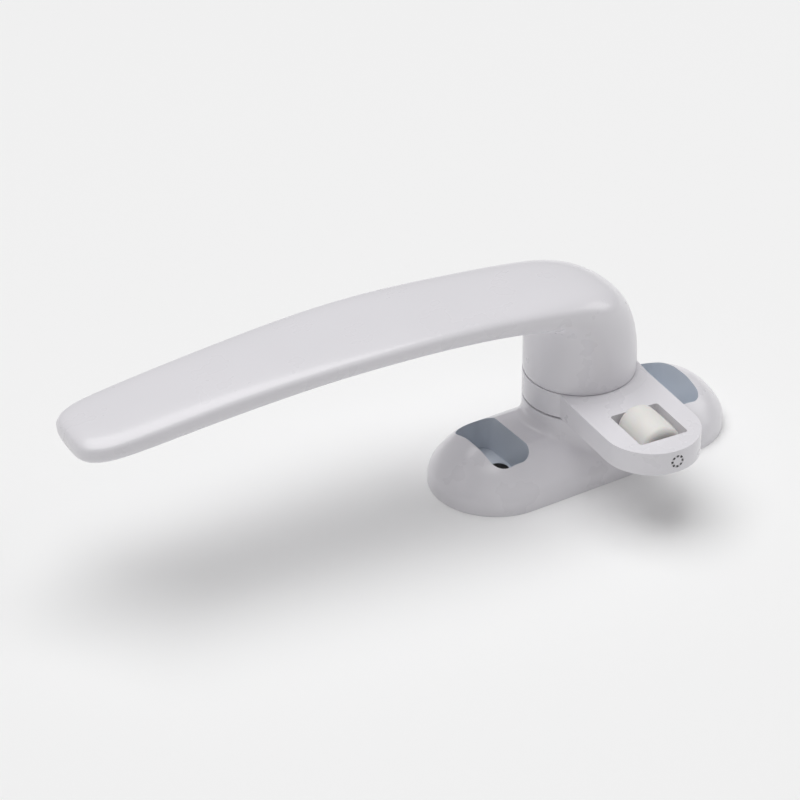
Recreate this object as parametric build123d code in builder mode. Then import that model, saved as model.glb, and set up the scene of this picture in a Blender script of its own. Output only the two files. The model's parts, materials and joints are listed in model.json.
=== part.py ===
from build123d import *
import os

os.makedirs("parts", exist_ok=True)

# Casement window handle with a roller cam.
# A lever with a round hub turns a cam plate on a domed, hollow base.  The cam's tongue
# carries a roller that rides over the keeper and pulls the sash shut.
# +Z is the spindle axis, pointing away from the sash.  The origin is on the mounting face,
# under the spindle.  The base is long in X.  All sizes are in millimetres.

# Base housing
base_end_radius = 14.7  # half the base's width
base_end_centre = 21.9  # from the spindle to the centre of each round end
base_edge_height = 1.8  # straight wall before the dome starts
base_height = 11.3  # crest of the dome
dome_share = 0.63  # part of the half width that the dome's curve takes
dome_power = 1.55  # fullness of the dome's curve, 2 is an ellipse
casting_wall = 2.2
boss_radius = 12.5
boss_top = 15.4
boss_blend = 2.0
boss_edge = 0.3

# Screw pockets and their slotted holes
pocket_inner_x = 18.0
pocket_outer_x = 27.4
pocket_half_length = 9.5
pocket_corner = 3.4
pocket_bulge = 0.35
pocket_wall = 1.6
pocket_floor = 2.4
screw_slot_x = 22.75
screw_slot_length = 8.4
screw_slot_width = 4.8

# Turning stack, from the base upwards
handle_turn = -4.7  # degrees from the position parallel to the base
thrust_washer_thickness = 0.5
thrust_washer_radius = 11.6
cam_thickness = 5.35
cam_radius = 12.5
cam_pad_height = 0.45
cam_pad_foot_radius = 14.8
cam_pad_top_radius = 13.0
tongue_half_width = 10.9
tongue_offset = 1.45
tongue_tip_centre = 27.3
cam_window_centre = 26.4
cam_window_width = 11.8
cam_window_length = 12.7
cam_window_corner = 0.7
cam_window_offset = 1.65

# Roller and its pin
roller_radius = 4.8
roller_end_radius = 4.6
roller_shoulder = 1.2
roller_end_gap = 0.7
roller_pin_radius = 1.5
roller_pin_length = 22.0
roller_pin_recess = 0.05
pin_knurl_length = 3.0
pin_knurl_radius = 0.28
pin_knurl_count = 8

# Spindle and what holds it
spindle_square = 8.0
spindle_square_length = 17.0  # above the cam's underside
spindle_edge = 0.6
journal_radius = 6.0
bush_wall = 1.5
tail_square = 7.0
core_radius = 11.8
core_bottom = 6.0
disc_spring_height = 1.0
disc_spring_thickness = 0.45
disc_spring_width = 2.1
stop_washer_thickness = 1.2
stop_washer_radius = 8.3
stop_tab_reach = 10.8
stop_tab_width = 6.0
stop_turn = 45.0  # half the handle's sweep
stop_lug_width = 3.0
stop_lug_length = 3.0
end_washer_thickness = 0.8
end_washer_radius = 6.5
end_screw_radius = 2.0
end_screw_length = 9.0
end_screw_head_radius = 3.8
end_screw_head_height = 2.0
end_screw_edge = 0.9
end_screw_recess_width = 1.0
end_screw_recess_length = 4.4
end_screw_recess_depth = 1.1

# Lever
hub_radius = 12.5
hub_edge = 0.25
arm_length = 120.7
arm_root_half_width = 12.3
arm_waist_half_width = 12.1
arm_palm_half_width = 12.6
arm_tip_half_width = 10.6
arm_tip_corner = 6.0
arm_root_height = 37.2
arm_top_edge = 1.0
arm_under_edge = 2.0

# Clearances
press_clearance = 0.01
running_clearance = 0.05
key_clearance = 0.05
washer_clearance = 0.2
stop_clearance = 0.15
spring_lift = 0.02

# Lengths that only have to be ample
cut_extra = 1.0  # how far a cut runs past the face it comes out of
lever_blank_height = 30.0  # from the hub's foot to above the lever's crown
above_lever = 80.0
behind_hub = 30.0
profile_extra = 5.0  # how far the lever's profiles run past its tip

# Levels worked out from the stack
cam_bottom = boss_top + thrust_washer_thickness
cam_top = cam_bottom + cam_thickness
hub_bottom = cam_top + cam_pad_height
roller_axis_z = cam_bottom + cam_thickness / 2
stop_washer_top = core_bottom - disc_spring_height
stop_washer_bottom = stop_washer_top - stop_washer_thickness
end_washer_bottom = stop_washer_bottom - end_washer_thickness
socket_depth = cam_bottom + spindle_square_length + washer_clearance - hub_bottom
bush_radius = journal_radius + running_clearance + bush_wall
disc_spring_inner = journal_radius + washer_clearance
disc_spring_outer = disc_spring_inner + disc_spring_width
stop_lug_inner = max(stop_washer_radius, disc_spring_outer) + washer_clearance
roller_length = cam_window_length - 2 * roller_end_gap
roller_bore = roller_pin_radius + running_clearance
roller_offset = cam_window_offset - tongue_offset
tongue_reach = tongue_tip_centre + (tongue_half_width ** 2 - roller_offset ** 2) ** 0.5

turned = Plane.XY.rotated((0, 0, handle_turn))
roller_axis_point = turned.from_local_coords(Vector(cam_window_offset, 0, roller_axis_z))
lengthways = Plane((0, 0, 0), x_dir=turned.x_dir, z_dir=-turned.y_dir)


def domed_block(radius, height):
    """A solid with a stadium plan and a domed top, its long side along X."""
    rise = height - base_edge_height
    steps = 6
    curve = []
    for step in range(steps + 1):
        across = step / steps
        level = base_edge_height + rise * (1 - (1 - across) ** dome_power) ** (1 / dome_power)
        curve.append((across * dome_share * radius - radius, level))
    crest = curve[-1]
    with BuildPart() as block:
        with BuildSketch(Plane.YZ.offset(base_end_centre)) as half_section:
            with BuildLine():
                Polyline((0, height), (0, 0), (-radius, 0), curve[0])
                Spline(*curve, tangents=[(0, 1), (1, 0)])
                Line(crest, (0, height))
            make_face()
        revolve(axis=Axis((base_end_centre, 0, 0), (0, 0, 1)), revolution_arc=180)
        with BuildSketch(Plane.YZ) as full_section:
            add(Plane.YZ.to_local_coords(half_section.sketch.moved(Location((-base_end_centre, 0, 0)))))
            mirror(about=Plane.YZ)
        extrude(amount=base_end_centre)
        mirror(about=Plane.YZ)
    return block.part


# Base housing: a hollow casting with a boss, a bored core, two screw pockets and two stops
housing_outside = domed_block(base_end_radius, base_height)
housing_cavity = domed_block(base_end_radius - casting_wall, base_height - casting_wall)

with BuildPart() as base_housing:
    add(housing_outside)
    with BuildSketch(Plane.XY.offset(base_edge_height)):
        Circle(boss_radius)
    extrude(amount=boss_top - base_edge_height)
    boss_side = base_housing.faces().filter_by(GeomType.CYLINDER).sort_by(SortBy.AREA)[-1]
    boss_foot = boss_side.edges().filter_by(GeomType.LINE, reverse=True).sort_by(Axis.Z)[:-1]
    fillet(boss_foot, radius=boss_blend)
    boss_rim = base_housing.edges().filter_by(GeomType.CIRCLE).sort_by(Axis.Z)[-1]
    fillet(boss_rim, radius=boss_edge)
    add(housing_cavity, mode=Mode.SUBTRACT)
    # The core under the boss and the walls of the pockets stand inside the shell.
    with BuildSketch(Plane.XY.offset(core_bottom)):
        Circle(core_radius)
    extrude(until=Until.NEXT)
    for side in (-1, 1):
        pocket_centre = side * (pocket_inner_x + pocket_outer_x) / 2
        with BuildSketch(Plane.XY):
            with Locations((pocket_centre, 0)):
                Rectangle(pocket_outer_x - pocket_inner_x + 2 * pocket_wall,
                          2 * (pocket_half_length + pocket_wall))
        extrude(until=Until.NEXT)
        with BuildSketch(Plane.XY.offset(pocket_floor)):
            with BuildLine():
                Polyline((side * pocket_outer_x, -pocket_half_length),
                         (side * pocket_inner_x, -pocket_half_length),
                         (side * pocket_inner_x, pocket_half_length),
                         (side * pocket_outer_x, pocket_half_length))
                ThreePointArc((side * pocket_outer_x, pocket_half_length),
                              (side * (pocket_outer_x + pocket_bulge), 0),
                              (side * pocket_outer_x, -pocket_half_length))
            pocket_outline = make_face()
            fillet(pocket_outline.vertices(), radius=pocket_corner)
        extrude(amount=base_height, mode=Mode.SUBTRACT)
        with BuildSketch(Plane.XY):
            with Locations((side * screw_slot_x, 0)):
                SlotOverall(screw_slot_length, screw_slot_width)
        extrude(amount=base_height, mode=Mode.SUBTRACT)
        # A lug under the core stops the washer's tab at this end of the travel.
        with BuildSketch(Plane.XY.offset(core_bottom).rotated((0, 0, side * stop_turn))):
            with Locations((stop_lug_inner + stop_lug_length / 2,
                            side * (stop_tab_width / 2 + stop_clearance + stop_lug_width / 2))):
                Rectangle(stop_lug_length, stop_lug_width)
        extrude(amount=stop_washer_bottom - core_bottom)
    with BuildSketch(Plane.XY):
        Circle(bush_radius + press_clearance)
    extrude(amount=boss_top + cut_extra, mode=Mode.SUBTRACT)
base_housing.part.label = "base_housing"
export_step(base_housing.part, "parts/base_housing.step")

# Plastic bush pressed into the core
with BuildPart() as spindle_bush:
    with BuildSketch(Plane.XY.offset(core_bottom)):
        Circle(bush_radius)
        Circle(journal_radius + running_clearance, mode=Mode.SUBTRACT)
    extrude(amount=boss_top - core_bottom)
spindle_bush.part.label = "spindle_bush"
export_step(spindle_bush.part, "parts/spindle_bush.step")

# Plastic thrust washer between the boss and the cam
with BuildPart() as thrust_washer:
    with BuildSketch(Plane.XY.offset(boss_top)):
        Circle(thrust_washer_radius)
        Circle(journal_radius + washer_clearance, mode=Mode.SUBTRACT)
    extrude(amount=thrust_washer_thickness)
thrust_washer.part.label = "thrust_washer"
export_step(thrust_washer.part, "parts/thrust_washer.step")

# Spindle: a square for lever and cam, a round journal, a short square tail and a tapped hole
with BuildPart() as drive_spindle:
    with BuildSketch(turned.offset(stop_washer_top)):
        Circle(journal_radius)
    extrude(amount=cam_bottom - stop_washer_top)
    with BuildSketch(turned.offset(cam_bottom)):
        Rectangle(spindle_square, spindle_square)
    extrude(amount=spindle_square_length)
    with BuildSketch(turned.offset(stop_washer_top)):
        Rectangle(tail_square, tail_square)
    extrude(amount=washer_clearance - stop_washer_thickness)
    with BuildSketch(turned):
        Circle(end_screw_radius + press_clearance)
    extrude(amount=end_washer_bottom + end_screw_length + cut_extra, mode=Mode.SUBTRACT)
    chamfer(drive_spindle.faces().sort_by(Axis.Z)[-1].edges(), length=spindle_edge)
drive_spindle.part.label = "drive_spindle"
export_step(drive_spindle.part, "parts/drive_spindle.step")

# The roller pin's line runs along the tongue, and the pin ends just inside the tip's rim.
pin_end = tongue_reach - roller_pin_recess
pin_plane = Plane(roller_axis_point, x_dir=turned.x_dir, z_dir=-turned.y_dir)

# Cam plate: a round collar with a low conical pad and an offset, round-ended tongue
with BuildPart() as cam_plate:
    with BuildSketch(turned.offset(cam_bottom)):
        Circle(cam_radius)
        with Locations((tongue_offset, -tongue_tip_centre / 2)):
            Rectangle(2 * tongue_half_width, tongue_tip_centre)
        with Locations((tongue_offset, -tongue_tip_centre)):
            Circle(tongue_half_width)
    extrude(amount=cam_thickness + cam_pad_height)
    with BuildSketch(Plane.XZ):
        with BuildLine():
            Polyline((cam_pad_top_radius, hub_bottom), (cam_pad_foot_radius, cam_top),
                     (2 * tongue_tip_centre, cam_top), (2 * tongue_tip_centre, hub_bottom + cut_extra),
                     (cam_pad_top_radius, hub_bottom + cut_extra), close=True)
        make_face()
    revolve(axis=Axis.Z, mode=Mode.SUBTRACT)
    with BuildSketch(turned.offset(cam_bottom)):
        Rectangle(spindle_square + 2 * key_clearance, spindle_square + 2 * key_clearance)
        with Locations((cam_window_offset, -cam_window_centre)):
            RectangleRounded(cam_window_width, cam_window_length, cam_window_corner)
    extrude(amount=cam_thickness + cut_extra, mode=Mode.SUBTRACT)
    with BuildSketch(pin_plane.offset(pin_end - roller_pin_length)):
        Circle(roller_pin_radius + press_clearance)
    extrude(amount=roller_pin_length + cut_extra, mode=Mode.SUBTRACT)
cam_plate.part.label = "cam_plate"
export_step(cam_plate.part, "parts/cam_plate.step")

# Roller: a barrel with a running bore, its axis along the tongue
roller_centre = turned.from_local_coords(Vector(cam_window_offset, -cam_window_centre, roller_axis_z))
roller_plane = Plane(roller_centre, x_dir=turned.y_dir, z_dir=turned.x_dir)
with BuildPart() as cam_roller:
    with BuildSketch(roller_plane):
        with BuildLine():
            Polyline((-roller_length / 2, roller_end_radius), (-roller_length / 2, roller_bore),
                     (roller_length / 2, roller_bore), (roller_length / 2, roller_end_radius))
            ThreePointArc((roller_length / 2, roller_end_radius), (0, roller_radius),
                          (-roller_length / 2, roller_end_radius))
        roller_profile = make_face()
        shoulders = roller_profile.vertices().sort_by(Axis.Y)[-2:]
        fillet(shoulders, radius=roller_shoulder)
    revolve(axis=Axis(roller_centre, turned.y_dir))
cam_roller.part.label = "cam_roller"
export_step(cam_roller.part, "parts/cam_roller.step")

# Roller pin: driven in from the tongue's tip, its outer end knurled
with BuildPart() as roller_pin:
    with BuildSketch(pin_plane.offset(pin_end)):
        Circle(roller_pin_radius)
    extrude(amount=-roller_pin_length)
    with BuildSketch(pin_plane.offset(pin_end)):
        with PolarLocations(roller_pin_radius, pin_knurl_count):
            Circle(pin_knurl_radius)
    extrude(amount=-pin_knurl_length, mode=Mode.SUBTRACT)
roller_pin.part.label = "roller_pin"
export_step(roller_pin.part, "parts/roller_pin.step")

# Disc spring: a dished ring that bears up on the core and down on the stop washer
with BuildPart() as disc_spring:
    with BuildSketch(Plane.XZ):
        with BuildLine():
            Polyline((disc_spring_inner, stop_washer_top),
                     (disc_spring_outer, core_bottom - disc_spring_thickness - spring_lift),
                     (disc_spring_outer, core_bottom - spring_lift),
                     (disc_spring_inner, stop_washer_top + disc_spring_thickness), close=True)
        make_face()
    revolve(axis=Axis.Z)
disc_spring.part.label = "disc_spring"
export_step(disc_spring.part, "parts/disc_spring.step")

# Stop washer: keyed to the spindle's tail, its tab swings between the two lugs
with BuildPart() as stop_washer:
    with BuildSketch(turned.offset(stop_washer_bottom)):
        Circle(stop_washer_radius)
    extrude(amount=stop_washer_thickness)
    with BuildSketch(turned.offset(stop_washer_bottom).rotated((0, 0, stop_turn))):
        with Locations((stop_tab_reach / 2, 0)):
            Rectangle(stop_tab_reach, stop_tab_width)
    extrude(amount=stop_washer_thickness)
    with BuildSketch(turned.offset(stop_washer_bottom)):
        Rectangle(tail_square + 2 * key_clearance, tail_square + 2 * key_clearance)
    extrude(amount=stop_washer_thickness, mode=Mode.SUBTRACT)
stop_washer.part.label = "stop_washer"
export_step(stop_washer.part, "parts/stop_washer.step")

# Plain washer and pan head screw that hold the stack on the spindle
with BuildPart() as end_washer:
    with BuildSketch(Plane.XY.offset(end_washer_bottom)):
        Circle(end_washer_radius)
        Circle(end_screw_radius + washer_clearance, mode=Mode.SUBTRACT)
    extrude(amount=end_washer_thickness)
end_washer.part.label = "end_washer"
export_step(end_washer.part, "parts/end_washer.step")

with BuildPart() as end_screw:
    with BuildSketch(turned.offset(end_washer_bottom)):
        Circle(end_screw_head_radius)
    extrude(amount=-end_screw_head_height)
    fillet(end_screw.edges().filter_by(GeomType.CIRCLE).sort_by(Axis.Z)[0], radius=end_screw_edge)
    with BuildSketch(turned.offset(end_washer_bottom)):
        Circle(end_screw_radius)
    extrude(amount=end_screw_length)
    with BuildSketch(turned.offset(end_washer_bottom - end_screw_head_height)):
        Rectangle(end_screw_recess_length, end_screw_recess_width)
        Rectangle(end_screw_recess_width, end_screw_recess_length)
    extrude(amount=end_screw_recess_depth, mode=Mode.SUBTRACT)
end_screw.part.label = "end_screw"
export_step(end_screw.part, "parts/end_screw.step")

# Lever: a round hub that bends over into a broad, flat arm with soft edges.
# Every curve is drawn in the turned frame, where the arm runs towards -X.
arm_plan = [(2, arm_root_half_width), (-24, arm_waist_half_width), (-48, arm_palm_half_width),
            (-72, 11.85), (-96, 10.95), (-arm_length, arm_tip_half_width)]
arm_plan_other_side = [(x, -y) for x, y in reversed(arm_plan)]
past_tip = -arm_length - profile_extra
arm_underside = [(10, arm_root_height), (-15, 37.8), (-26, 40.8), (-50, 42.7), (-80, 40.8),
                 (-104, 38.0), (past_tip, 35.9)]
lever_back = [(hub_radius + 0.7, 24.0), (12.0, 29.5), (9.5, 36.4), (4.2, 42.4), (-4, 45.6),
              (-17, 47.2), (-46, 48.5), (-80, 46.9), (-104, 44.0), (past_tip, 40.9)]

with BuildPart() as arm_block:
    with BuildSketch(turned.offset(hub_bottom)):
        with BuildLine():
            Line(arm_plan_other_side[-1], arm_plan[0])
            Spline(*arm_plan)
            Line(arm_plan[-1], arm_plan_other_side[0])
            Spline(*arm_plan_other_side)
        make_face()
    extrude(amount=lever_blank_height)
    fillet(arm_block.edges().filter_by(Axis.Z).sort_by(Axis.X)[:2], radius=arm_tip_corner)
    with BuildSketch(lengthways.offset(-2 * hub_radius)):
        with BuildLine():
            Spline(*arm_underside)
            Polyline(arm_underside[-1], (past_tip, 0), (arm_underside[0][0], 0), arm_underside[0])
        make_face()
    extrude(amount=4 * hub_radius, mode=Mode.SUBTRACT)

with BuildPart() as handle_lever:
    with BuildSketch(turned.offset(hub_bottom)):
        Circle(hub_radius)
    extrude(amount=lever_blank_height)
    add(arm_block.part)
    with BuildSketch(lengthways.offset(-2 * hub_radius)):
        with BuildLine():
            Spline(*lever_back)
            Polyline(lever_back[-1], (past_tip, above_lever), (behind_hub, above_lever),
                     (behind_hub, lever_back[0][1]), lever_back[0])
        make_face()
    extrude(amount=4 * hub_radius, mode=Mode.SUBTRACT)
    curved_faces = handle_lever.faces().filter_by(GeomType.EXTRUSION).sort_by(SortBy.AREA)
    chamfer(curved_faces[-1].outer_wire().edges(), length=arm_top_edge)
    underside = handle_lever.faces().filter_by(GeomType.EXTRUSION).sort_by(SortBy.AREA)[-2]
    fillet(underside.outer_wire().edges(), radius=arm_under_edge)
    with BuildSketch(turned.offset(hub_bottom)):
        Rectangle(spindle_square + 2 * key_clearance, spindle_square + 2 * key_clearance)
    extrude(amount=socket_depth, mode=Mode.SUBTRACT)
    chamfer(handle_lever.edges().filter_by(GeomType.CIRCLE).sort_by(Axis.Z)[0], length=hub_edge)
handle_lever.part.label = "handle_lever"
export_step(handle_lever.part, "parts/handle_lever.step")
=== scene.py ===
# %% [markdown]
# # A casement window handle with a roller cam
# From outside, the object is three white castings (base, cam plate and lever), a small roller and
# the end of its pin.  A short stack of steel and plastic parts inside holds them together.  The
# fixed frame already has every part at its real size, in metres, so this lesson does two things: it
# models the lever's soft, flowing body, and it gives every part the finish that the real one has.

# %% Load the frame
import json
import math

import bpy
from mathutils import Matrix, Vector


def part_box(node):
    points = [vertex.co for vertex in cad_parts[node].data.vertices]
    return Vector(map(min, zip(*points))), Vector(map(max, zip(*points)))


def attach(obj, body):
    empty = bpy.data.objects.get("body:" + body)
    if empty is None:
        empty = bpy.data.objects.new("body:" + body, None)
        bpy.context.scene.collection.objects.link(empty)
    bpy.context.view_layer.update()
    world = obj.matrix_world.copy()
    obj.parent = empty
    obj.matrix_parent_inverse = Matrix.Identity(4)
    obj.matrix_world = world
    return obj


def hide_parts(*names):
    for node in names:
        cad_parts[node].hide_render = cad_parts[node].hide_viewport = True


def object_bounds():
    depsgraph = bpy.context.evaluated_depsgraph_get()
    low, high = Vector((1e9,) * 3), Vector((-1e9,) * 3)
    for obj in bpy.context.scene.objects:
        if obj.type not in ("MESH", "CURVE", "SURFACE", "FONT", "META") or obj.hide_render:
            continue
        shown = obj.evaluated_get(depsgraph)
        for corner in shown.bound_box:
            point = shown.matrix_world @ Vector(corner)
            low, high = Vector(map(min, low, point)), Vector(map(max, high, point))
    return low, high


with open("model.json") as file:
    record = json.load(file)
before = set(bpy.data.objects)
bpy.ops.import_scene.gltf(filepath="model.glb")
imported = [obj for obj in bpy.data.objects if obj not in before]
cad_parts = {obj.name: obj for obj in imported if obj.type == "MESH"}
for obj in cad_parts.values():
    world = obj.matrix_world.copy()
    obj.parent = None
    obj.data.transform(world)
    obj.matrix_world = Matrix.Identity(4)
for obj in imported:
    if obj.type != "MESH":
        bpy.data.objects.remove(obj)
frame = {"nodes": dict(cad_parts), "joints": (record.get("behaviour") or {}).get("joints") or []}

cad_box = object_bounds()
nodes = frame["nodes"]
print("nodes:", sorted(nodes))

# %% [markdown]
# ## Places
# Lengths are easier to read in millimetres, so one constant turns them into metres.  The handle is
# turned a few degrees about the spindle.  The roller's axis lies along the cam's tongue, so its
# joint tells which way the turned handle faces, and nothing has to be measured by eye.

# %% Directions and the hub's foot, from the frame
MM = 0.001
joints = {joint["name"]: joint for joint in frame["joints"]}
tongue_way = Vector(joints["roller_spin"]["axis"]).normalized()
turn = math.atan2(tongue_way.x, -tongue_way.y)
turned = Matrix.Rotation(turn, 4, "Z")
hub_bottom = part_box("handle_lever")[0][2]
print("turn", round(math.degrees(turn), 2), "hub bottom", round(hub_bottom, 4))

# %% [markdown]
# ## Shader maths as plain expressions
# A material is a net of small nodes.  Written out one by one it is hard to read, so a socket is
# wrapped in a class that understands +, -, * and /.  `maker.node` adds any other node.

# %% The socket wrapper
class Sock:
    """One output socket, with operators that add Math nodes."""

    def __init__(self, maker, socket):
        self.maker = maker
        self.socket = socket

    def math(self, operation, *others):
        values = {0: self}
        for place, other in enumerate(others, start=1):
            values[place] = other
        return self.maker.node("ShaderNodeMath", {"operation": operation}, values)

    def __add__(self, other):
        return self.math("ADD", other)

    def __radd__(self, other):
        return self.math("ADD", other)

    def __sub__(self, other):
        return self.math("SUBTRACT", other)

    def __rsub__(self, other):
        return self.maker.node("ShaderNodeMath", {"operation": "SUBTRACT"}, {0: other, 1: self})

    def __mul__(self, other):
        return self.math("MULTIPLY", other)

    def __abs__(self):
        return self.math("ABSOLUTE")

    def ramp(self, low, high):
        """0 below low, 1 above high, smooth between."""
        return self.maker.node("ShaderNodeMapRange", {"interpolation_type": "SMOOTHSTEP"},
                               {"Value": self, "From Min": low, "From Max": high})


class Maker:
    """Builds one material's node tree."""

    def __init__(self, name):
        self.material = bpy.data.materials.new(name)
        self.material.use_nodes = True
        self.tree = self.material.node_tree
        self.shader = self.tree.nodes["Principled BSDF"]
        coordinates = self.tree.nodes.new("ShaderNodeTexCoord")
        self.place = Sock(self, coordinates.outputs["Object"])
        self.facing = Sock(self, coordinates.outputs["Normal"])

    def put(self, target, value):
        if isinstance(value, Sock):
            self.tree.links.new(value.socket, target)
        else:
            target.default_value = value

    def node(self, kind, settings, values, output=0):
        made = self.tree.nodes.new(kind)
        for key, value in settings.items():
            setattr(made, key, value)
        for key, value in values.items():
            self.put(made.inputs[key], value)
        return Sock(self, made.outputs[output])

    def parts(self, vector):
        made = self.tree.nodes.new("ShaderNodeSeparateXYZ")
        self.put(made.inputs[0], vector)
        return [Sock(self, made.outputs[index]) for index in range(3)]

    def turned_place(self, angle, centre):
        """Object coordinates moved to a centre and turned about Z."""
        moved = self.node("ShaderNodeVectorMath", {"operation": "SUBTRACT"},
                          {0: self.place, 1: tuple(centre)})
        return self.node("ShaderNodeVectorRotate", {"rotation_type": "Z_AXIS"},
                         {"Vector": moved, "Angle": angle})

    def noise(self, per_mm, detail=3.0, vector=None):
        """Noise with about this many bumps in a millimetre."""
        return self.node("ShaderNodeTexNoise", {},
                         {"Vector": vector or self.place, "Scale": per_mm / MM, "Detail": detail})

    def mix(self, mask, first, second):
        """Blend two colours."""
        made = self.tree.nodes.new("ShaderNodeMix")
        made.data_type = "RGBA"
        self.put(made.inputs[0], mask)
        self.put(made.inputs[6], first)
        self.put(made.inputs[7], second)
        return Sock(self, made.outputs[2])

    def bump(self, height, depth_mm, strength=1.0):
        return self.node("ShaderNodeBump", {},
                         {"Strength": strength, "Distance": depth_mm * MM, "Height": height})

    def finish(self, **sockets):
        for name, value in sockets.items():
            self.put(self.shader.inputs[name.replace("_", " ")], value)
        return self.material


print("shader maths ready")

# %% [markdown]
# ## White powder coat
# The castings are zinc under a smooth white baked coat.  Close up such a coat isn't flat: it has a
# very shallow orange peel and slow changes of tone and gloss where the film is thicker.  The three
# castings share this recipe, so it is one function, and each casting adds what is its own.

# %% The coat's recipe
coat_white = (0.80, 0.785, 0.82, 1)
coat_shade = (0.755, 0.745, 0.775, 1)


COAT_LAYER = {"Coat_Weight": 0.25, "Coat_Roughness": 0.12}  # the clear gloss over the colour


def coat_parts(maker):
    """Colour, roughness and normal of the white coat."""
    cloud = maker.noise(0.05, 2.0).ramp(0.3, 0.7)
    colour = maker.mix(cloud * 0.25, coat_white, coat_shade)
    smear = maker.noise(0.12, 3.0).ramp(0.3, 0.75)
    roughness = 0.27 + smear * 0.04
    peel = maker.noise(0.7, 2.0)
    normal = maker.bump(peel, 0.004, 0.6)
    return colour, roughness, normal


def plain_coat(name):
    maker = Maker(name)
    colour, roughness, normal = coat_parts(maker)
    return maker.finish(Base_Color=colour, Roughness=roughness, Normal=normal, **COAT_LAYER)


# %% [markdown]
# ## The base's own coat
# Two places on the base differ.  The screw pockets are deep, and their walls and floors are tinted
# blue grey.  The hollow underside isn't coated at all.
# Both are found by place: a pocket by its footprint and its upright or lowest faces, the underside
# by faces that look down.  The slots' walls are painted near black, as painted shade for the shadow
# deep in each slot.

# %% Base coat with blue grey pockets, painted shade in the slots and a bare underside
pocket_blue = (0.70, 0.745, 0.81, 1)
# painted shade: the near black of the slots' walls stands for their shadow
slot_painted_shade = (0.012, 0.012, 0.013, 1)
pocket_floor = 2.4 * MM
pocket_inner = 18.0 * MM  # from the spindle to a pocket's near wall
pocket_outer = 27.8 * MM  # and to the crest of its bulged far wall
pocket_half_length = 9.5 * MM
slot_half_width = 2.4 * MM
EDGE = 0.1 * MM  # how softly one finish turns into the next
zinc_grey = (0.36, 0.37, 0.38, 1)


def base_coat(name):
    maker = Maker(name)
    colour, roughness, normal = coat_parts(maker)
    x, y, z = maker.parts(maker.place)
    facing_z = maker.parts(maker.facing)[2]
    across = abs(x)
    along = abs(y)
    past_near_wall = across.ramp(pocket_inner - EDGE, pocket_inner)
    before_far_wall = 1 - across.ramp(pocket_outer, pocket_outer + EDGE)
    inside_x = past_near_wall * before_far_wall
    inside_y = 1 - along.ramp(pocket_half_length, pocket_half_length + EDGE)
    upright = 1 - facing_z.ramp(0.02, 0.10)
    low = 1 - z.ramp(pocket_floor + 3 * EDGE, pocket_floor + 5 * EDGE)
    pocket = inside_x * inside_y * upright.math("MAXIMUM", low)
    colour = maker.mix(pocket, colour, pocket_blue)
    # Painted shade: the slots' walls below the pocket floor are coloured near black for their
    # shadow.
    below_floor = 1 - z.ramp(pocket_floor - 2.5 * EDGE, pocket_floor - 0.5 * EDGE)
    near_slot = 1 - along.ramp(slot_half_width + 0.5 * EDGE, slot_half_width + EDGE)
    colour = maker.mix(below_floor * inside_x * near_slot, colour, slot_painted_shade)
    bare = (0 - facing_z).ramp(0.12, 0.3)
    grain = maker.noise(2.2, 4.0)
    zinc = maker.mix(grain, zinc_grey, pocket_blue)
    colour = maker.mix(bare, colour, zinc)
    roughness = roughness + pocket * 0.12 + bare * 0.2
    return maker.finish(Base_Color=colour, Roughness=roughness, Normal=normal, **COAT_LAYER)


# %% [markdown]
# ## Nylon, steel and black plastic
# The roller is turned from natural nylon: warm, waxy and faintly ringed by the lathe.  The steel
# parts are drawn or stamped, so their grain runs one way.  The pin's outer end was coated with the
# casting, all but its knurled rim, which is bare dark steel; the dark dashes round it are painted
# shade for the knurl grooves.

# %% Nylon roller
roller_centre = Vector(joints["roller_spin"]["pos_m"])


def nylon(name):
    maker = Maker(name)
    local = maker.turned_place(-turn, roller_centre)
    rings = maker.node("ShaderNodeTexWave", {"bands_direction": "Y"},
                       {"Vector": local, "Scale": 0.9 / MM, "Distortion": 0.6, "Detail": 2.0})
    cloud = maker.noise(0.25, 3.0)
    colour = maker.mix(cloud, (0.84, 0.83, 0.80, 1), (0.78, 0.765, 0.735, 1))
    normal = maker.bump(rings, 0.004, 0.5)
    return maker.finish(Base_Color=colour, Roughness=0.36 + cloud * 0.12, Normal=normal,
                        Subsurface_Weight=0.15, Subsurface_Scale=0.002)


# %% Steel, with a drawn grain
STRETCH = 9.0  # the grain is this many times longer than wide


def steel(name, light=0.60, grain_turn=0.0):
    maker = Maker(name)
    local = maker.turned_place(grain_turn, (0, 0, 0))
    x, y, z = maker.parts(local)
    drawn = maker.node("ShaderNodeCombineXYZ", {}, {0: x * STRETCH, 1: y, 2: z * STRETCH})
    grain = maker.noise(0.9, 4.0, drawn)
    stain = maker.noise(0.3, 3.0).ramp(0.4, 0.8)
    bright = (light, light, light * 1.02, 1)
    dull = (light * 0.72, light * 0.71, light * 0.70, 1)
    colour = maker.mix(grain * 0.6 + stain * 0.3, bright, dull)
    return maker.finish(Base_Color=colour, Metallic=1.0, Roughness=0.28 + grain * 0.16,
                        Normal=maker.bump(grain, 0.006, 0.5))


KNURLS = 8  # grooves round the pin's end
rim_start = 0.92 * MM  # radius of the painted middle of the pin's end
tip_reach = 11.4 * MM  # from the roller's centre to just inside the pin's end face


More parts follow.
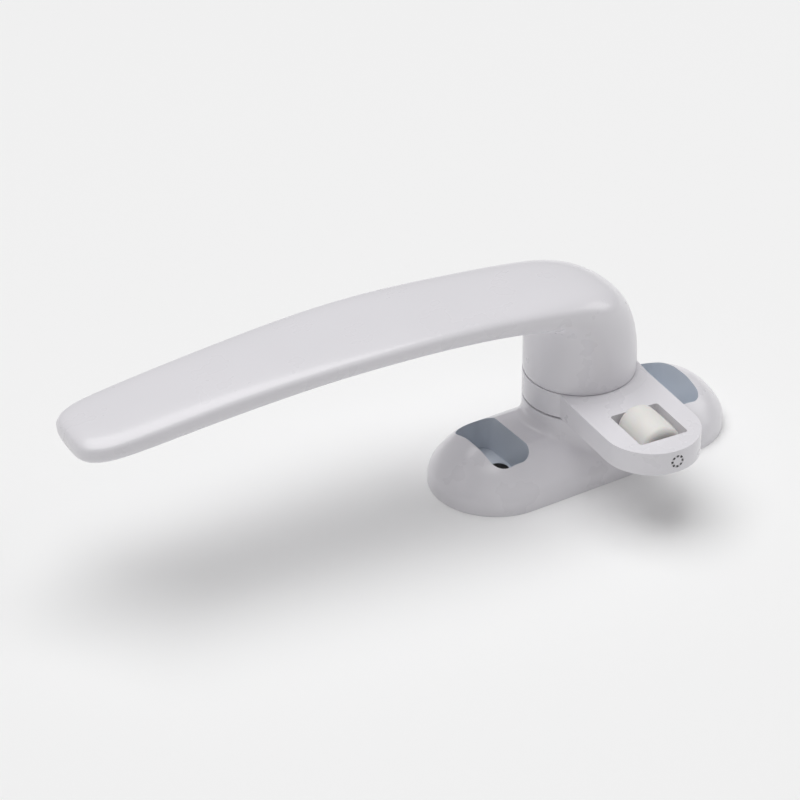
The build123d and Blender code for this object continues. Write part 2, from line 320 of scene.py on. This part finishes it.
def pin_finish(name):
    maker = Maker(name)
    local = maker.turned_place(-turn, roller_centre)
    x, y, z = maker.parts(local)
    radius = (x * x + z * z).math("SQRT")
    # The rim is bare dark steel; its eight darker dashes are painted shade for the knurl grooves.
    knurl_shade_beat = z.math("ARCTAN2", x).math("MULTIPLY", KNURLS).math("COSINE")
    rim_steel_and_knurl_shade = radius.ramp(rim_start, rim_start + EDGE) * (0.25 + knurl_shade_beat.ramp(-0.5, 0.3) * 0.75)
    end = 1 - y.ramp(-tip_reach, -tip_reach + 2 * EDGE)
    grain = maker.noise(3.0, 3.0)
    bare = maker.mix(grain, (0.05, 0.05, 0.05, 1), (0.14, 0.14, 0.14, 1))
    coated = maker.mix(grain * 0.3, coat_white, coat_shade)
    white = (1 - rim_steel_and_knurl_shade) * end
    return maker.finish(Base_Color=maker.mix(white, bare, coated), Metallic=0.8 - white * 0.8,
                        Roughness=0.36 + grain * 0.1, Normal=maker.bump(grain, 0.01, 0.5))


# %% [markdown]
# The two hidden bearings, a washer and a bush, are moulded in black plastic with a fine matt grain.

# %% Black plastic
def black_plastic(name):
    maker = Maker(name)
    grain = maker.noise(1.4, 4.0)
    colour = maker.mix(grain, (0.020, 0.020, 0.022, 1), (0.045, 0.045, 0.048, 1))
    return maker.finish(Base_Color=colour, Roughness=0.45 + grain * 0.15,
                        Normal=maker.bump(grain, 0.01, 0.6))


# %% [markdown]
# ## Dressing the frame
# Every part of the frame but the lever keeps its own shape, so it only needs a material.  The five
# steel parts inside differ a little in brightness and in the way their grain runs.

# %% Put the finishes on the frame's parts
finishes = {
    "base_housing": base_coat("base coat"),
    "cam_plate": plain_coat("cam coat"),
    "cam_roller": nylon("nylon"),
    "roller_pin": pin_finish("knurled pin"),
    "drive_spindle": steel("spindle steel", 0.58),
    "disc_spring": steel("spring steel", 0.42),
    "stop_washer": steel("stop washer steel", 0.55, 0.6),
    "end_washer": steel("washer steel", 0.62, 1.1),
    "end_screw": steel("screw steel", 0.66, 0.3),
    "thrust_washer": black_plastic("washer plastic"),
    "spindle_bush": black_plastic("bush plastic"),
}
for node, finish in finishes.items():
    slots = nodes[node].data.materials
    slots.clear()
    slots.append(finish)
print("finished", len(finishes), "frame parts")

# %% [markdown]
# ## The lever
# The real lever is one casting: a round hub that rises from the cam, bends over in a smooth elbow
# and flattens into a broad arm with a crowned top, soft edges and a squared-off, rounded tip.  A
# box with bevels can't give that flow.  So it starts as a flat disc, and its face is extruded again
# and again, up the hub and along the arm, as by hand.  Each new ring is then fitted to the section
# that the casting has there, and a subdivision surface rounds the whole.

# %% The lever's sections
# (outer point, inner point, half width, fullness above, fullness below), millimetres, where a point
# is (distance along the arm, height above the hub's foot) and a fullness of 2 is an ellipse.
HUB = 12.5
sections = [
    ((-12.15, 0.0), (12.15, 0.0), 12.15, 2.0, 2.0),
    ((-HUB, 0.35), (HUB, 0.35), HUB, 2.0, 2.0),
    ((-HUB, 3.5), (HUB, 3.5), HUB, 2.0, 2.0),
    ((-12.2, 8.2), (HUB, 7.6), HUB, 2.0, 2.0),
    ((-11.0, 13.4), (HUB, 11.0), HUB, 2.05, 2.05),
    ((-8.5, 18.2), (12.5, 13.6), HUB, 2.15, 2.15),
    ((-4.3, 21.9), (12.8, 15.4), HUB, 2.3, 2.3),
    ((1.4, 24.0), (13.6, 16.5), 12.45, 2.45, 2.5),
    ((8.6, 25.0), (15.6, 17.3), 12.4, 2.6, 2.7),
    ((17.0, 25.6), (19.6, 18.4), 12.35, 2.8, 2.9),
    ((27.0, 26.2), (28.0, 19.5), 12.25, 3.0, 3.0),
    ((40.0, 26.65), (40.0, 20.6), 12.5, 3.2, 3.0),
    ((52.0, 26.7), (52.0, 20.9), 12.7, 3.3, 3.0),
    ((66.0, 26.2), (66.0, 20.5), 12.25, 3.3, 3.0),
    ((80.0, 25.1), (80.0, 19.0), 11.55, 3.3, 3.0),
    ((94.0, 23.6), (94.0, 17.4), 11.1, 3.3, 3.0),
    ((107.5, 21.75), (107.5, 15.7), 10.8, 3.3, 3.0),
    ((114.2, 20.8), (114.2, 15.0), 10.35, 3.3, 3.0),
    ((118.1, 20.1), (118.1, 14.8), 9.0, 3.3, 3.0),
    ((120.1, 19.4), (120.1, 15.1), 6.9, 3.2, 2.8),
    ((120.6, 18.6), (120.6, 15.8), 4.6, 3.0, 2.6),
]
RING = 24
ROUNDING = 1.0115  # a subdivided ring of 24 points shrinks by this


def ring_points(section):
    """The ring's points in the handle's turned frame, in metres."""
    outer, inner, half_width, over, under = section
    middle = Vector(((-outer[0] - inner[0]) / 2, 0, (outer[1] + inner[1]) / 2))
    rise = Vector((inner[0] - outer[0], 0, outer[1] - inner[1])) / 2
    points = []
    for step in range(RING):
        angle = 2 * math.pi * step / RING
        fullness = over if math.sin(angle) >= 0 else under
        side = abs(math.cos(angle)) ** (2 / fullness) * math.copysign(1, math.cos(angle))
        up = abs(math.sin(angle)) ** (2 / fullness) * math.copysign(1, math.sin(angle))
        point = middle + (Vector((0, half_width * side, 0)) + rise * up) * ROUNDING
        points.append(turned @ (point * MM + Vector((0, 0, hub_bottom))))
    return points


# %% Start: one filled ring, everything else deselected
bpy.ops.object.select_all(action="DESELECT")
bpy.ops.mesh.primitive_circle_add(vertices=RING, radius=HUB * MM, fill_type="NGON",
                                  location=(0, 0, hub_bottom))
lever = bpy.context.object
lever.name = "lever_body"
bpy.ops.object.transform_apply(location=True, rotation=True, scale=True)


def fit_ring(piece, selected, section):
    """Puts the selected ring's points on the section, each at its own place in the order."""
    wanted = ring_points(section)
    for index, point in zip(selected, wanted):
        piece.data.vertices[index].co = point


def end_ring(piece):
    """The last ring's points, in order round the ring."""
    count = len(piece.data.vertices)
    return list(range(count - RING, count))


# %% Extrude the end face along the arm, ring after ring
bpy.ops.object.mode_set(mode="EDIT")
bpy.ops.mesh.select_mode(type="FACE")
bpy.ops.mesh.select_all(action="SELECT")
bpy.ops.object.mode_set(mode="OBJECT")
first_order = [vertex.index for vertex in lever.data.vertices]
fit_ring(lever, first_order, sections[0])
for section in sections[1:]:
    bpy.ops.object.mode_set(mode="EDIT")
    bpy.ops.mesh.extrude_region_move(TRANSFORM_OT_translate={"value": (0, 0, MM)})
    bpy.ops.object.mode_set(mode="OBJECT")
    fit_ring(lever, end_ring(lever), section)
print("lever cage:", len(lever.data.vertices), "points,", len(lever.data.polygons), "faces")

# %% [markdown]
# ## Close, round and smooth the lever
# The extruded end face already closes the tip.  Inset rings hold the hub's foot crisp, so the
# subdivision rounds only the body.  The socket for the spindle is cut with a square block, as the
# die's core leaves it.

# %% Subdivide, cut the socket, shade smooth
def pick_faces(piece, test):
    """Selects only the faces whose centre passes the test."""
    bpy.context.view_layer.objects.active = piece
    bpy.ops.object.mode_set(mode="EDIT")
    bpy.ops.mesh.select_mode(type="FACE")
    bpy.ops.mesh.select_all(action="DESELECT")
    bpy.ops.object.mode_set(mode="OBJECT")
    for face in piece.data.polygons:
        face.select = test(face.center)
    bpy.ops.object.mode_set(mode="EDIT")


foot_centre = min(lever.data.polygons, key=lambda face: face.center.z).center.copy()
pick_faces(lever, lambda centre: (centre - foot_centre).length < EDGE)
for inset in (0.4 * MM, 5.0 * MM):
    bpy.ops.mesh.inset(thickness=inset)
bpy.ops.mesh.select_all(action="SELECT")
bpy.ops.mesh.normals_make_consistent(inside=False)
bpy.ops.object.mode_set(mode="OBJECT")


def apply_modifier(piece, kind, **settings):
    """Adds a modifier with its settings and applies it."""
    bpy.ops.object.select_all(action="DESELECT")
    bpy.context.view_layer.objects.active = piece
    piece.select_set(True)
    modifier = piece.modifiers.new(kind.title(), kind)
    for key, value in settings.items():
        setattr(modifier, key, value)
    bpy.ops.object.modifier_apply(modifier=modifier.name)


apply_modifier(lever, "SUBSURF", levels=2, render_levels=2)

socket_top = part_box("drive_spindle")[1][2] + 0.2 * MM
socket_side = 8.1 * MM
CREASE = 40  # degrees; only the foot and the socket are sharper than this
bpy.ops.object.select_all(action="DESELECT")
bpy.ops.mesh.primitive_cube_add(size=1, location=(0, 0, (hub_bottom - MM + socket_top) / 2),
                                rotation=(0, 0, turn),
                                scale=(socket_side, socket_side, socket_top - hub_bottom + MM))
socket_core = bpy.context.object
bpy.ops.object.transform_apply(location=True, rotation=True, scale=True)
apply_modifier(lever, "BOOLEAN", operation="DIFFERENCE", object=socket_core, solver="EXACT")
bpy.data.objects.remove(socket_core, do_unlink=True)
bpy.ops.object.select_all(action="DESELECT")
lever.select_set(True)
bpy.context.view_layer.objects.active = lever
bpy.ops.object.shade_smooth_by_angle(angle=math.radians(CREASE))
print("lever:", len(lever.data.polygons), "faces")

# %% Give the lever its coat and its place in the frame
lever.data.materials.append(plain_coat("lever coat"))
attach(lever, "handle")
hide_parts("handle_lever")

# %% [markdown]
# ## Floor and light
# The handle stands on its mounting face on a plain pale floor.  One wide soft lamp overhead makes
# the top faces the brightest, a weak one fills the near side, and a third lifts the far right.

# %% Floor
floor_level = cad_box[0][2]
bpy.ops.object.select_all(action="DESELECT")
bpy.ops.mesh.primitive_plane_add(size=6, location=(0, 0, floor_level - 0.02 * MM))
floor = bpy.context.object
floor.name = "floor"
floor_maker = Maker("pale floor")
floor_tone = floor_maker.mix(floor_maker.noise(0.002, 2.0),
                             (0.93, 0.93, 0.93, 1), (0.95, 0.95, 0.95, 1))
floor.data.materials.append(floor_maker.finish(Base_Color=floor_tone, Roughness=0.9))


# %% [markdown]
# The lamps are squares of soft light, placed in metres and aimed at the handle.  The world adds a
# weak white glow from all sides, so that no shadow is black.

# %% Lamps
def soft_lamp(name, place, aim, size, power):
    """A square area lamp that looks at a point."""
    lamp = bpy.data.lights.new(name, "AREA")
    lamp.shape = "SQUARE"
    lamp.size = size
    lamp.energy = power
    holder = bpy.data.objects.new(name, lamp)
    holder.location = place
    holder.rotation_euler = (Vector(aim) - Vector(place)).to_track_quat("-Z", "Y").to_euler()
    bpy.context.scene.collection.objects.link(holder)
    return holder


handle_middle = (-0.03, 0, 0.02)
cam_middle = (0.0, 0, 0.02)
soft_lamp("overhead", (-0.25, 0.3, 2.0), handle_middle, 2.0, 35.0)
soft_lamp("near fill", (-0.7, -1.0, 0.5), handle_middle, 0.9, 0.5)
soft_lamp("right lift", (1.0, -0.3, 0.6), cam_middle, 0.6, 2.2)
world = bpy.data.worlds.new("studio")
bpy.context.scene.world = world
world.use_nodes = True
world.node_tree.nodes["Background"].inputs["Color"].default_value = (1, 1, 1, 1)
world.node_tree.nodes["Background"].inputs["Strength"].default_value = 0.22

# %% [markdown]
# ## Camera
# A long lens from well above the near left corner shows the lever's back, the cam's tongue with its
# roller, and both screw pockets.

# %% Camera
camera_data = bpy.data.cameras.new("camera")
camera = bpy.data.objects.new("camera", camera_data)
bpy.context.scene.collection.objects.link(camera)
camera_data.sensor_width = 36
camera_data.lens = 157.8
eye = Vector((-0.3843, -0.5262, 0.4248))
sight = Vector((0.4564, 0.7110, -0.5349)).normalized()
right = Vector((0.8415, -0.5402, 0)).normalized()
up = right.cross(sight)
camera.matrix_world = Matrix.Translation(eye) @ Matrix((
    (right.x, up.x, -sight.x, 0), (right.y, up.y, -sight.y, 0), (right.z, up.z, -sight.z, 0),
    (0, 0, 0, 1)))
bpy.context.scene.camera = camera
bpy.context.scene.view_settings.view_transform = "Standard"
